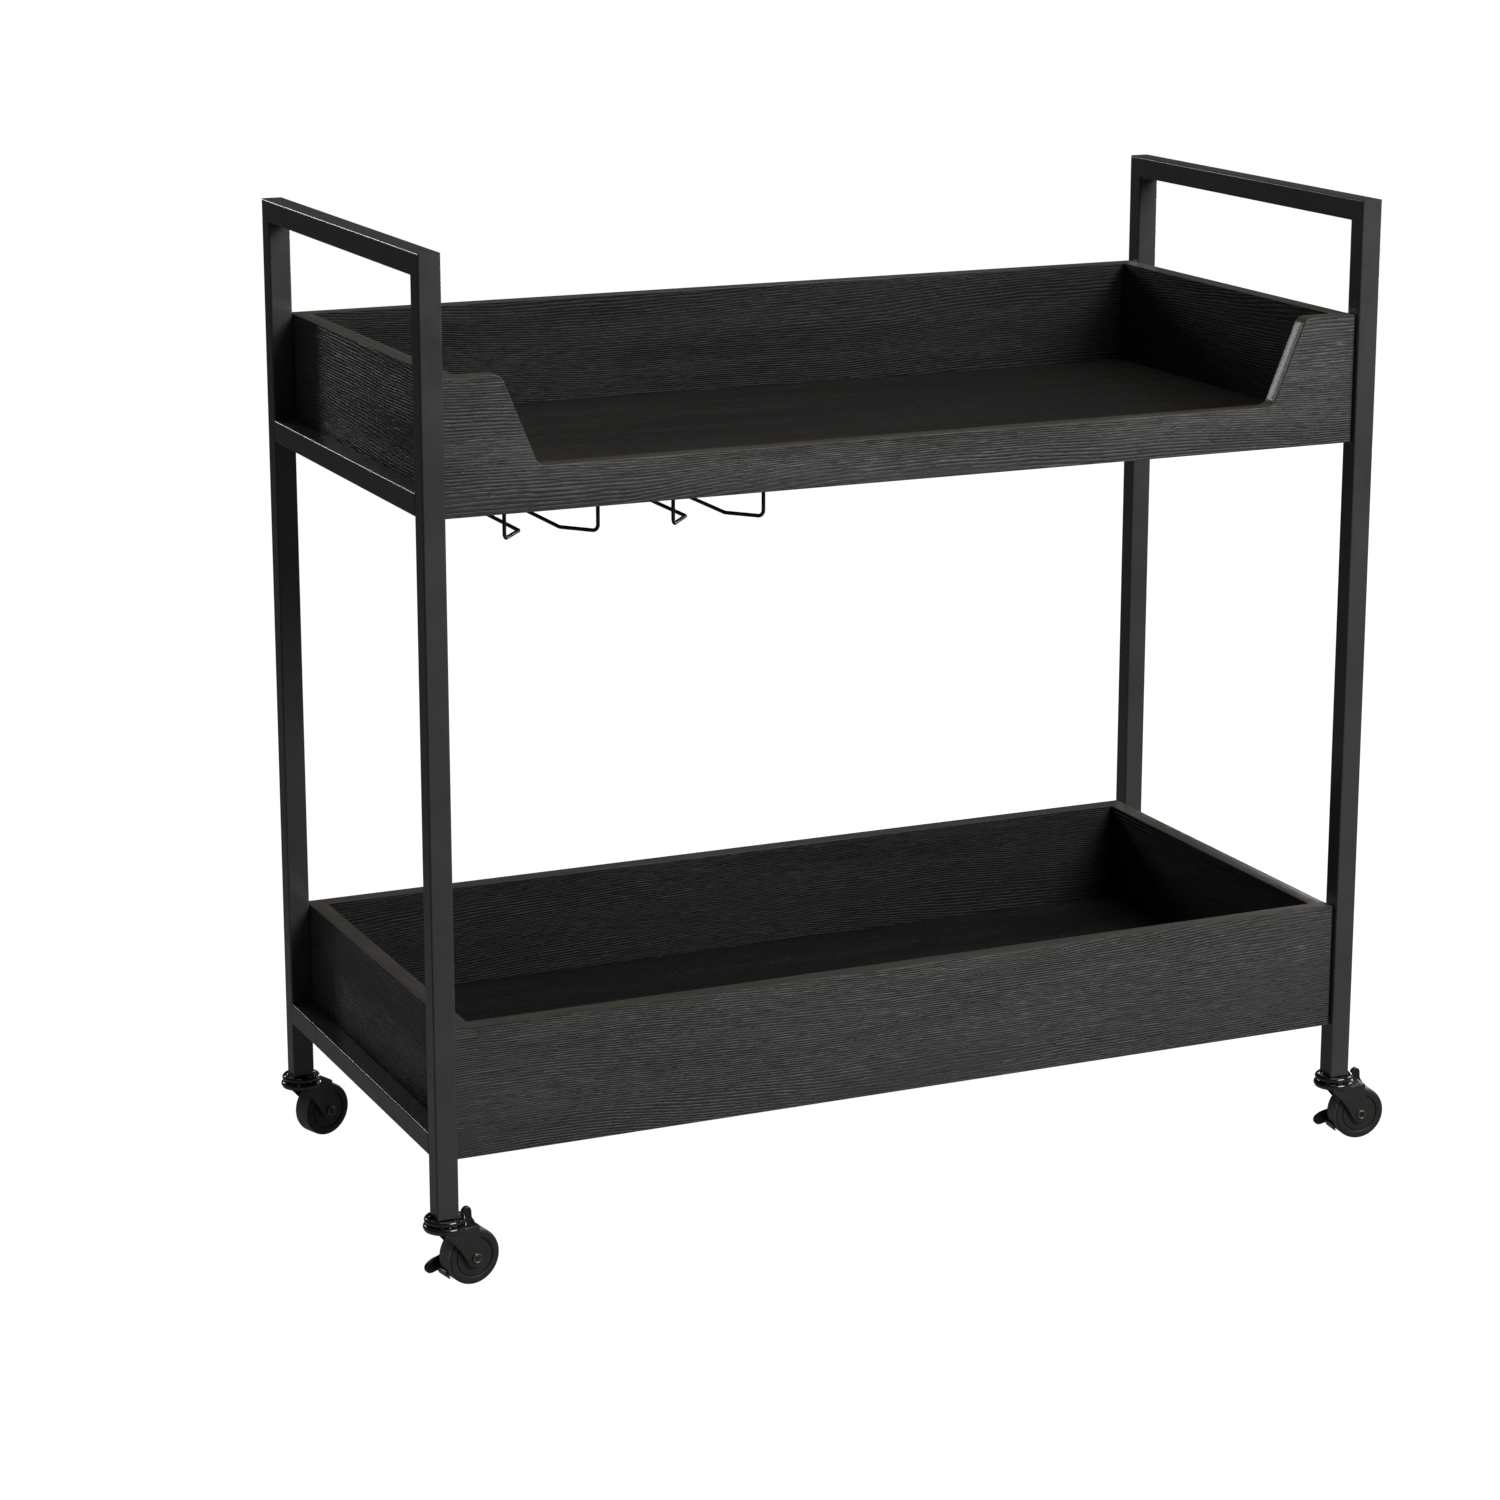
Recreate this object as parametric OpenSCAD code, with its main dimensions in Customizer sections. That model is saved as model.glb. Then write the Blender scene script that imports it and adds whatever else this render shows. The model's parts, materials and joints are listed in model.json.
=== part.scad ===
// Two-tray bar cart on four swivel casters: two welded square-tube end frames,
// two laminated-board trays hung between them, and a wire stemware rack under the
// left half of the upper tray. Millimetres, +Z up, floor at Z = 0, front towards -Y.
// The origin is the middle of the whole footprint on the floor, casters included.

/* [Overall] */
// Width over the two end frames
cart_w = 870; // [780:5:960]
// Depth over the legs
cart_d = 400; // [360:5:460]
// Height from the floor to the top of the handle bars
cart_h = 850; // [800:5:920]

/* [Tube frame] */
// Side of the square tube
tube = 19; // [16:0.5:22]
// Wall of the square tube
tube_wall = 1.2; // [1:0.1:1.6]
// Outer corner radius of the tube
tube_r = 1.6; // [1.3:0.1:2.4]
// Top of the upper rails above the floor
upper_rail_top = 660.5; // [640:0.5:680]
// Top of the lower rails above the floor
lower_rail_top = 131.5; // [128:0.5:150]

/* [Trays] */
// Thickness of every board
board = 16; // [15:1:18]
// Height of the tray walls
wall_h = 111; // [95:1:125]
// Floor of the upper tray above the ground
upper_floor = 660.5; // [640:0.5:680]
// Floor of the lower tray above the ground
lower_floor = 130.5; // [127:0.5:150]
// How far the front and back walls hang below the floor's top face
wall_drop = 20; // [19:0.5:24]
// How far the front and back walls stand behind the legs' outer faces
recess = 5; // [3:0.5:8]
// Gap between each end frame and the trays
side_gap = 1; // [0.5:0.1:1.5]

/* [Front cut-out] */
// Height of the low lip, from the wall's lower edge
lip_h = 36.5; // [30:0.5:45]
// Half width of the cut-out at the lip
cut_low = 336; // [300:1:345]
// Half width of the cut-out at the top
cut_high = 366.5; // [350:0.5:380]
// Radius of the cut-out's four corners
cut_r = 9; // [6:1:14]

/* [Stemware rack] */
// Diameter of the rack wire
wire_d = 3.2; // [3:0.1:4]
// Middle of the left channel, from the cart's centre line
channel_1 = -316.5; // [-320:0.5:-310]
// Middle of the second channel, from the cart's centre line
channel_2 = -171; // [-180:0.5:-165]
// Half the distance between the two front posts of a channel
post_half = 40; // [38:0.5:44]
// Half the distance between the two rails of a channel
slot_half = 17.5; // [15:0.5:20]
// Centre of the wire below the tray's underside
rack_drop = 29; // [24:0.5:34]
// Y of the front posts, from the cart's centre line
post_front = -170; // [-172:0.5:-165]
// Length of the funnel at the front
funnel = 27; // [20:1:32]
// Y of the rear posts, from the cart's centre line
post_rear = 120; // [80:1:140]

/* [Casters] */
// Wheel diameter
wheel_d = 48; // [46:1:50]
// Tyre width
tyre_w = 19; // [16:0.5:20]
// Horizontal distance from the swivel axis to the axle
trail = 22.5; // [21:0.5:25]
// Bottom of the legs above the floor
leg_bottom = 62; // [62:1:66]
// Swivel angle of the front left caster, 0 trails towards +X
swivel_fl = 10; // [-30:1:30]
// Swivel angle of the front right caster
swivel_fr = -6; // [-30:1:30]
// Swivel angle of the rear left caster
swivel_rl = 20; // [-30:1:30]
// Swivel angle of the rear right caster
swivel_rr = -12; // [-30:1:30]
// Balls in each swivel bearing
balls = 12; // [8:1:14]

/* [Hidden] */
$fn = 48;
e = 0.01;

// Half spans of the frame
hx = cart_w/2;
hy = cart_d/2;
leg_x = hx - tube/2;
leg_y = hy - tube/2;
rail_len = cart_d - 2*tube;

// Trays
tray_w = cart_w - 2*tube - 2*side_gap;
tw2 = tray_w/2;
y_out = hy - recess;
y_in = y_out - board;
x_in = tw2 - board;
cut_ang = atan2(wall_h - lip_h, cut_high - cut_low);

// Support tabs
tab_t = 2;
tab_w = 30;
tab_len = 32;
tab_y = 110;
tab_in = 8;
tab_far = 24;

// Cam fittings
cam_r = 7.5;
cam_h = 12.3;
cam_in = 24;
cam_x = 250;
cam_y = 70;
dowel_r = 4;
dowel_in_wall = 11;
dowel_in_side = 18;
dowel_z = [34, 84];

// Rack
rw = wire_d/2;
strip_t = 2;
strip_w = 12;
rack_under = upper_floor - board;
rack_z = rack_under - rack_drop;
bend_1 = 5;
bend_2 = 4;
rack_screws_x = [channel_1 - 28, (channel_1 + channel_2)/2, channel_2 + 28];

// Caster stack, heights above the floor
axle_z = wheel_d/2;
crown_z = 50.7;
crown_t = 1.7;
race_r = 18;
bead = 2.5;
low_bead_z = 53.6;
top_bead_z = 59.4;
cup_r = 17;
web_t = 1.4;
stem_r = 4;
run = 0.08;
plate_t = 1.8;
plate_in = 10.6;
plate_out = plate_in + plate_t;
rivet_r = 3;
rivet_in = 1.8;
rivet_head = 4.2;
shoe_t = 1;
lever_y = plate_out + shoe_t + 0.6;
lever_t = 2.5;
hub_r = 16.2;
ball_r = 2.1;
ball_ring = 10.8;
nose = trail + 3.4;
shoulder = 3;
tongue = wheel_d/2 + 1.2;

// The middle of the footprint: from the left raceways to the right wheels, and from the front raceways to the rear wheels
function wheel_x(a) = trail*cos(a) + (wheel_d/2 - shoulder)*abs(cos(a)) + (tyre_w/2 - shoulder)*abs(sin(a)) + shoulder;
function wheel_y(a) = trail*sin(a) + (wheel_d/2 - shoulder)*abs(sin(a)) + (tyre_w/2 - shoulder)*abs(cos(a)) + shoulder;
reach_x = max(wheel_x(swivel_fr), wheel_x(swivel_rr));
reach_y = max(race_r, wheel_y(swivel_rl), wheel_y(swivel_rr));
foot_cx = (reach_x - race_r)/2;
foot_cy = (reach_y - race_r)/2;

black_paint = [0.10, 0.10, 0.10];
laminate = [0.20, 0.20, 0.20];
laminate_in = [0.15, 0.16, 0.17];
gloss_black = [0.05, 0.05, 0.05];
wheel_grey = [0.13, 0.13, 0.125];
tyre_grey = [0.22, 0.21, 0.20];
steel = [0.65, 0.65, 0.66];
beech = [0.78, 0.62, 0.42];

// Everything sits on the footprint's middle
module place() translate([-foot_cx, -foot_cy, 0]) children();

// ---------- tubes ----------

// Rounded square outline made of squares and circles
module rounded(w, r) {
  square([w - 2*r, w], center = true);
  square([w, w - 2*r], center = true);
  for (x = [-1, 1], y = [-1, 1]) translate([x*(w/2 - r), y*(w/2 - r)]) circle(r = r);
}

module tube_outline() difference() {
  rounded(tube, tube_r);
  rounded(tube - 2*tube_wall, 0.5);
}

// Half space above the mitre between a leg and the handle bar, at the front (s = -1) or rear (s = 1)
module above_mitre(x, s) translate([x, s*hy, cart_h]) mirror([0, s > 0 ? 1 : 0, 0])
  rotate([-45, 0, 0]) translate([-tube, -5, 0]) cube([2*tube, 3*tube, 3*tube]);

module below_mitre(x, s) translate([x, s*hy, cart_h]) mirror([0, s > 0 ? 1 : 0, 0])
  rotate([-45, 0, 0]) translate([-tube, -5, -3*tube]) cube([2*tube, 3*tube, 3*tube]);

module leg(sx, sy) color(black_paint) place() difference() {
  translate([sx*leg_x, sy*leg_y, leg_bottom]) linear_extrude(cart_h - leg_bottom) tube_outline();
  above_mitre(sx*leg_x, sy);
}

module handle_bar(sx) color(black_paint) place() difference() {
  translate([sx*leg_x, hy, cart_h - tube/2]) rotate([90, 0, 0]) linear_extrude(cart_d) tube_outline();
  below_mitre(sx*leg_x, -1);
  below_mitre(sx*leg_x, 1);
}

module rail(sx, top) color(black_paint) place()
  translate([sx*leg_x, rail_len/2, top - tube/2]) rotate([90, 0, 0]) linear_extrude(rail_len) tube_outline();

// Flat steel tabs welded to the rails' inner faces; the trays sit on them
module tray_tabs(sx) color(black_paint) place()
  for (under = [upper_floor - board, lower_floor - board], y = [-tab_y, tab_y])
    difference() {
      translate([sx > 0 ? hx - tube - tab_len : -hx + tube, y - tab_w/2, under - tab_t]) cube([tab_len, tab_w, tab_t]);
      for (d = [tab_in, tab_far]) translate([sx*(tw2 - d), y, under - tab_t - 1]) cylinder(r = 2.2, h = tab_t + 2);
    }

// Square plugs in the leg ends that take the caster stems
module leg_inserts() color(gloss_black) place()
  for (x = [-1, 1], y = [-1, 1]) translate([x*leg_x, y*leg_y, leg_bottom]) difference() {
    linear_extrude(26) rounded(tube - 2*tube_wall - 0.2, 0.6);
    translate([0, 0, -1]) cylinder(r = stem_r + 0.1, h = 28);
  }

// ---------- trays ----------

// Region between a corner of two straight edges and the arc that rounds it
module corner_wedge(v, a1, a2, r) {
  half = abs(a2 - a1)/2;
  l = r/tan(half);
  c = v + (r/sin(half))*[cos((a1 + a2)/2), sin((a1 + a2)/2)];
  difference() {
    polygon([v, v + l*[cos(a1), sin(a1)], c, v + l*[cos(a2), sin(a2)]]);
    translate(c) circle(r = r);
  }
}

// The front wall's cut-out, with its lower corners rounded inwards and its upper corners rounded outwards
module cut_outline() {
  k = (cut_high - cut_low)/(wall_h - lip_h);
  difference() {
    polygon([[-cut_low, lip_h], [cut_low, lip_h], [cut_high + 10*k, wall_h + 10], [-cut_high - 10*k, wall_h + 10]]);
    for (m = [0, 1]) mirror([m, 0]) corner_wedge([cut_low, lip_h], 180, cut_ang, cut_r);
  }
  for (m = [0, 1]) mirror([m, 0]) corner_wedge([cut_high, wall_h], 0, cut_ang - 180, cut_r);
}

// Holes in a front or back wall for the corner dowels and the cam bolts, in the wall's own plane
module wall_holes(sy, base) {
  for (x = [-1, 1], z = dowel_z)
    translate([x*(tw2 - board/2), sy*(y_in - 1), base + z]) rotate([-90*sy, 0, 0]) cylinder(r = dowel_r + 0.05, h = dowel_in_wall + 1.3);
  for (x = [-cam_x, cam_x])
    translate([x, sy*(y_in - 1), base + wall_drop - board/2]) rotate([-90*sy, 0, 0]) cylinder(r = 2.55, h = 11.2);
}

module long_wall(sy, floor_z, cut) place() difference() {
  base = floor_z - wall_drop;
  translate([0, sy > 0 ? y_out : -y_in, base]) rotate([90, 0, 0]) linear_extrude(board) difference() {
    translate([-tw2, 0]) square([tray_w, wall_h]);
    if (cut) cut_outline();
  }
  wall_holes(sy, base);
}

module side_wall(sx, floor_z) place() difference() {
  base = floor_z - board;
  translate([sx > 0 ? x_in : -tw2, -y_in, base]) cube([board, 2*y_in, wall_h - wall_drop + board]);
  for (s = [-1, 1], z = dowel_z)
    translate([sx*(tw2 - board/2), s*(y_in + 1), floor_z - wall_drop + z]) rotate([90*s, 0, 0]) cylinder(r = dowel_r + 0.05, h = dowel_in_side + 1.2);
  for (y = [-cam_y, cam_y])
    translate([sx*(x_in - 1), y, floor_z - board/2]) rotate([0, 90*sx, 0]) cylinder(r = 2.55, h = 11.2);
  for (y = [-tab_y, tab_y])
    translate([sx*(tw2 - tab_in), y, base - 1]) cylinder(r = 1.9, h = 15);
}

// A cam fitting is placed by its cam; the bolt runs along +X from it, through the bottom board's edge
module each_cam() {
  for (x = [-cam_x, cam_x], s = [-1, 1]) translate([x, s*(y_in - cam_in), 0]) rotate([0, 0, 90*s]) children();
  for (y = [-cam_y, cam_y], s = [-1, 1]) translate([s*(x_in - cam_in), y, 0]) rotate([0, 0, s > 0 ? 0 : 180]) children();
}

module bottom_board(floor_z, rack) place() difference() {
  under = floor_z - board;
  translate([-x_in, -y_in, under]) cube([2*x_in, 2*y_in, board]);
  translate([0, 0, under]) each_cam() {
    translate([0, 0, -1]) cylinder(r = cam_r + 0.1, h = cam_h + 1.2);
    translate([0, 0, board/2]) rotate([0, 90, 0]) cylinder(r = 3.6, h = cam_in + 1);
  }
  for (s = [-1, 1], y = [-tab_y, tab_y]) translate([s*(tw2 - tab_far), y, under - 1]) cylinder(r = 1.9, h = 13);
  if (rack) for (x = rack_screws_x, y = [post_front, post_rear]) translate([x, y, under - 1]) cylinder(r = 1.6, h = 13);
}

module cam_locks() color(steel) place()
  for (f = [upper_floor, lower_floor]) translate([0, 0, f - board]) each_cam() difference() {
    cylinder(r = cam_r, h = cam_h);
    translate([2, -1.4, board/2 - 3.6]) cube([8, 2.8, 7.2]);
    translate([0, 0, board/2]) rotate([0, 90, 0]) cylinder(r = 3.4, h = 5.5);
    translate([-5, -0.6, -1]) cube([10, 1.2, 2.6]);
    translate([-0.6, -5, -1]) cube([1.2, 10, 2.6]);
  }

module cam_bolts() color(steel) place()
  for (f = [upper_floor, lower_floor]) translate([0, 0, f - board/2]) each_cam() rotate([0, 90, 0]) {
    translate([0, 0, 2.5]) cylinder(r = 3, h = 2.5);
    translate([0, 0, 4.9]) cylinder(r = 1.3, h = 3.3);
    translate([0, 0, 8.1]) cylinder(r = 3.5, h = cam_in - 8.2);
    translate([0, 0, cam_in - 0.2]) cylinder(r = 2.5, h = 10);
  }

module dowels() color(beech) place()
  for (f = [upper_floor, lower_floor], x = [-1, 1], s = [-1, 1], z = dowel_z)
    translate([x*(tw2 - board/2), s*(y_in - dowel_in_side), f - wall_drop + z])
      rotate([-90*s, 0, 0]) cylinder(r = dowel_r, h = dowel_in_side + dowel_in_wall);

// A pan-head wood screw pointing up, its head's top face at z = 0
module wood_screw(len, r, head) {
  difference() {
    translate([0, 0, -2]) cylinder(r = head, h = 2);
    translate([-2.2, -0.5, -3]) cube([4.4, 1, 2]);
    translate([-0.5, -2.2, -3]) cube([1, 4.4, 2]);
  }
  translate([0, 0, -0.5]) cylinder(r = r, h = len + 0.5);
}

module tab_screws() color(steel) place()
  for (f = [upper_floor, lower_floor], s = [-1, 1], y = [-tab_y, tab_y], d = [tab_in, tab_far])
    translate([s*(tw2 - d), y, f - board - tab_t]) wood_screw(13, 1.8, 3.8);

// ---------- stemware rack ----------

// An arc of wire in the XY plane, from the +X side, turning left; drawn down by 0.02 where it is
// bent, and 0.3 longer at each end so that it is rooted in the straight lengths
module wire_arc(r, ang) {
  over = 0.3/r*180/PI;
  rotate([0, 0, -over]) rotate_extrude(angle = ang + 2*over) translate([r, 0]) circle(r = rw - 0.02);
}

// A channel's left rail: front post, bend, funnel, bend, straight run, bend, rear post
module rail_wire() {
  top = rack_under - strip_t;
  dx = post_half - slot_half;
  ang = atan2(funnel, dx);
  dir = [cos(ang), sin(ang), 0];
  turn = 90 - ang;
  side_l = bend_2*tan(turn/2);
  post = [-post_half, post_front, rack_z];
  knee = [-slot_half, post_front + funnel, rack_z];
  translate(post + [0, 0, bend_1]) cylinder(r = rw, h = top - rack_z - bend_1);
  translate(post + bend_1*dir + [0, 0, bend_1]) rotate([0, 0, ang + 180]) rotate([-90, 0, 0]) wire_arc(bend_1, 90);
  translate(post + bend_1*dir) rotate([0, 90, ang]) cylinder(r = rw, h = norm(knee - post) - bend_1 - side_l);
  translate(knee - side_l*dir + bend_2*[-sin(ang), cos(ang), 0]) rotate([0, 0, ang - 90]) wire_arc(bend_2, turn);
  translate(knee + [0, side_l, 0]) rotate([-90, 0, 0]) cylinder(r = rw, h = post_rear - bend_1 - knee[1] - side_l);
  translate([-slot_half, post_rear - bend_1, rack_z + bend_1]) rotate([0, 90, 0]) wire_arc(bend_1, 90);
  translate([-slot_half, post_rear, rack_z + bend_1]) cylinder(r = rw, h = top - rack_z - bend_1);
}

module glass_rail(cx, s) color(gloss_black) place() translate([cx, 0, 0]) mirror([s > 0 ? 1 : 0, 0, 0]) rail_wire();

module rack_strip(y) color(black_paint) place() difference() {
  x0 = channel_1 - post_half - 10;
  x1 = channel_2 + post_half + 10;
  translate([x0, y - strip_w/2, rack_under - strip_t]) cube([x1 - x0, strip_w, strip_t]);
  for (x = rack_screws_x) translate([x, y, rack_under - strip_t - 1]) cylinder(r = 2, h = strip_t + 2);
}

module rack_screws() color(steel) place()
  for (x = rack_screws_x, y = [post_front, post_rear]) translate([x, y, rack_under - strip_t]) wood_screw(12, 1.5, 3.4);

// ---------- casters ----------

module each_stem() for (x = [-1, 1], y = [-1, 1]) translate([x*leg_x, y*leg_y, 0]) children();

module caster_stems() color(steel) place() each_stem() {
  translate([0, 0, crown_z - 0.5]) cylinder(r = stem_r, h = 36);
  translate([0, 0, crown_z - 2.5]) cylinder(r = 6.5, h = 2.2);
}

module caster_nuts() color(gloss_black) place() each_stem() difference() {
  translate([0, 0, top_bead_z - bead + web_t]) cylinder(r = 7.5, h = leg_bottom - top_bead_z + bead - web_t, $fn = 6);
  translate([0, 0, 50]) cylinder(r = stem_r + 0.05, h = 20);
}

module caster_top_cups() color(gloss_black) place() each_stem() difference() {
  union() {
    rotate_extrude() translate([cup_r - bead, top_bead_z]) circle(r = bead);
    translate([0, 0, top_bead_z - bead]) cylinder(r = cup_r - bead, h = web_t);
  }
  translate([0, 0, 50]) cylinder(r = stem_r + 0.05, h = 20);
}

module caster_balls() color(steel) place() each_stem()
  for (i = [0 : balls - 1]) rotate([0, 0, 360*i/balls]) translate([ball_ring, 0, low_bead_z - bead + web_t + 0.1 + ball_r]) sphere(r = ball_r);

// Puts a caster part under its leg, turned to its swivel angle
module at_caster(sx, sy, a) place() translate([sx*leg_x, sy*leg_y, 0]) rotate([0, 0, a]) children();

// Outline of a fork cheek in the XZ plane, measured from the swivel axis
module cheek() {
  r = 8;
  polygon([[-8, crown_z + crown_t], [-8, crown_z - 1.5], [2, 39.6], [8.8, 31.2], [trail - 6.9, axle_z - 4],
    [trail, axle_z], [trail + 7.8, axle_z + 1.6], [trail + 5, 38], [nose, 48], [nose, crown_z + crown_t]]);
  translate([trail, axle_z]) circle(r = r);
}

module fork(sx, sy, a) color(gloss_black) at_caster(sx, sy, a) difference() {
  union() {
    for (s = [-1, 1]) translate([0, s > 0 ? plate_out : -plate_in, 0]) rotate([90, 0, 0]) linear_extrude(plate_t) cheek();
    translate([0, 0, crown_z]) cylinder(r = cup_r, h = crown_t);
    translate([0, -plate_out, crown_z]) cube([nose, 2*plate_out, crown_t]);
    rotate_extrude() translate([race_r - bead, low_bead_z]) circle(r = bead);
    translate([0, 0, low_bead_z - bead]) cylinder(r = race_r - bead, h = web_t);
  }
  translate([0, 0, crown_z - 2]) cylinder(r = stem_r + run, h = 8);
  translate([trail, 20, axle_z]) rotate([90, 0, 0]) cylinder(r = rivet_r + 0.02, h = 40);
}

// Tubular rivet that carries the wheel; the braked casters' one is longer on the lever's side
module axle(sx, sy, a, brake) color(steel) at_caster(sx, sy, a) {
  far = brake ? lever_y + lever_t + 0.15 : plate_out;
  translate([trail, 0, axle_z]) difference() {
    union() {
      translate([0, far, 0]) rotate([90, 0, 0]) cylinder(r = rivet_r, h = far + plate_out);
      translate([0, -plate_out, 0]) rotate([90, 0, 0]) cylinder(r = rivet_head, h = 1.2);
      translate([0, far + 1.2, 0]) rotate([90, 0, 0]) cylinder(r = rivet_head, h = 1.2);
    }
    translate([0, 30, 0]) rotate([90, 0, 0]) cylinder(r = rivet_in, h = 60);
  }
}

module wheel_hub(sx, sy, a) color(wheel_grey) at_caster(sx, sy, a) translate([trail, 0, axle_z]) rotate([90, 0, 0]) difference() {
  union() {
    translate([0, 0, -8]) cylinder(r = hub_r, h = 16);
    translate([0, 0, -10.3]) cylinder(r = 6, h = 20.6);
    for (s = [-1, 1]) translate([0, 0, s > 0 ? 8 - e : -9]) cylinder(r = hub_r - 0.8, h = 1 + e);
  }
  translate([0, 0, -12]) cylinder(r = rivet_r + run, h = 24);
}

// The tyre's section: a flat tread with rounded shoulders
module tyre(sx, sy, a) color(tyre_grey) at_caster(sx, sy, a) translate([trail, 0, axle_z]) rotate([90, 0, 0])
  rotate_extrude() {
    ro = wheel_d/2;
    sh = shoulder;
    translate([hub_r + 0.03, -tyre_w/2]) square([ro - hub_r - 0.03 - sh, tyre_w]);
    translate([ro - sh - e, -tyre_w/2 + sh]) square([sh + e, tyre_w - 2*sh]);
    for (s = [-1, 1]) translate([ro - sh, s*(tyre_w/2 - sh)]) circle(r = sh);
  }

// A wing of the brake lever: straight-sided, with a round tip
module wing(ang, reach, w0, w1) rotate(ang) {
  polygon([[0, -w0], [reach, -w1], [reach, w1], [0, w0]]);
  translate([reach, 0]) circle(r = w1);
}

module lever_outline() {
  circle(r = 8.5);
  wing(77, 31, 6.5, 4.5);
  wing(202, 30, 6.5, 5);
  polygon([[7.5, -4], [14.5, 19], [13.8, 21.2], [10, 26.5], [-2, 24], [-7.5, 0]]);
}

module brake_lever(sx, sy, a) color(gloss_black) at_caster(sx, sy, a)
  translate([trail, lever_y + lever_t, axle_z]) rotate([90, 0, 0]) difference() {
    union() {
      linear_extrude(lever_t) lever_outline();
      translate([0, 0, -2]) linear_extrude(lever_t + 2) intersection() {
        lever_outline();
        difference() {
          circle(r = 40);
          circle(r = 22);
        }
      }
    }
    translate([0, 0, -10]) cylinder(r = rivet_r + run, h = 30);
  }

// Brake shoe: a thin arm on the axle, with a tongue folded across the tread
module brake_shoe(sx, sy, a) color(black_paint) at_caster(sx, sy, a)
  translate([trail, plate_out + 0.2 + shoe_t, axle_z]) rotate([90, 0, 0]) difference() {
    union() {
      linear_extrude(shoe_t) {
        circle(r = 6);
        rotate(210) translate([0, -4]) square([tongue + 1.2, 8]);
      }
      rotate(210) translate([tongue, -4, 0]) cube([1.2, 8, 17]);
    }
    translate([0, 0, -5]) cylinder(r = rivet_r + 0.05, h = 12);
  }

leg(-1, -1);  // left_front_leg
leg(-1, 1);  // left_rear_leg
handle_bar(-1);  // left_handle_bar
rail(-1, upper_rail_top);  // left_upper_rail
rail(-1, lower_rail_top);  // left_lower_rail
leg(1, -1);  // right_front_leg
leg(1, 1);  // right_rear_leg
handle_bar(1);  // right_handle_bar
rail(1, upper_rail_top);  // right_upper_rail
rail(1, lower_rail_top);  // right_lower_rail
tray_tabs(-1);  // left_tray_tabs
tray_tabs(1);  // right_tray_tabs
leg_inserts();
color(laminate) long_wall(-1, upper_floor, true);  // upper_front_panel
color(laminate_in) long_wall(1, upper_floor, false);  // upper_back_panel
color(laminate) side_wall(-1, upper_floor);  // upper_left_panel
color(laminate) side_wall(1, upper_floor);  // upper_right_panel
color(laminate_in) bottom_board(upper_floor, true);  // upper_bottom_panel
color(laminate) long_wall(-1, lower_floor, false);  // lower_front_panel
color(laminate_in) long_wall(1, lower_floor, false);  // lower_back_panel
color(laminate) side_wall(-1, lower_floor);  // lower_left_panel
color(laminate) side_wall(1, lower_floor);  // lower_right_panel
color(laminate_in) bottom_board(lower_floor, false);  // lower_bottom_panel
cam_locks();
cam_bolts();
dowels();
tab_screws();
rack_strip(post_front);  // rack_front_strip
rack_strip(post_rear);  // rack_rear_strip
glass_rail(channel_1, -1);  // glass_rail_1
glass_rail(channel_1, 1);  // glass_rail_2
glass_rail(channel_2, -1);  // glass_rail_3
glass_rail(channel_2, 1);  // glass_rail_4
rack_screws();
caster_stems();
caster_nuts();
caster_top_cups();
caster_balls();
fork(-1, -1, swivel_fl);  // front_left_fork
fork(1, -1, swivel_fr);  // front_right_fork
fork(-1, 1, swivel_rl);  // rear_left_fork
fork(1, 1, swivel_rr);  // rear_right_fork
axle(-1, -1, swivel_fl, true);  // front_left_axle
axle(1, -1, swivel_fr, true);  // front_right_axle
axle(-1, 1, swivel_rl, false);  // rear_left_axle
axle(1, 1, swivel_rr, false);  // rear_right_axle
wheel_hub(-1, -1, swivel_fl);  // front_left_wheel_hub
wheel_hub(1, -1, swivel_fr);  // front_right_wheel_hub
wheel_hub(-1, 1, swivel_rl);  // rear_left_wheel_hub
wheel_hub(1, 1, swivel_rr);  // rear_right_wheel_hub
tyre(-1, -1, swivel_fl);  // front_left_tyre
tyre(1, -1, swivel_fr);  // front_right_tyre
tyre(-1, 1, swivel_rl);  // rear_left_tyre
tyre(1, 1, swivel_rr);  // rear_right_tyre
brake_lever(-1, -1, swivel_fl);  // front_left_brake_lever
brake_lever(1, -1, swivel_fr);  // front_right_brake_lever
brake_shoe(-1, -1, swivel_fl);  // front_left_brake_shoe
brake_shoe(1, -1, swivel_fr);  // front_right_brake_shoe
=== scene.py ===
import json
import math

import bmesh
import bpy
from mathutils import Matrix, Vector


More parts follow.
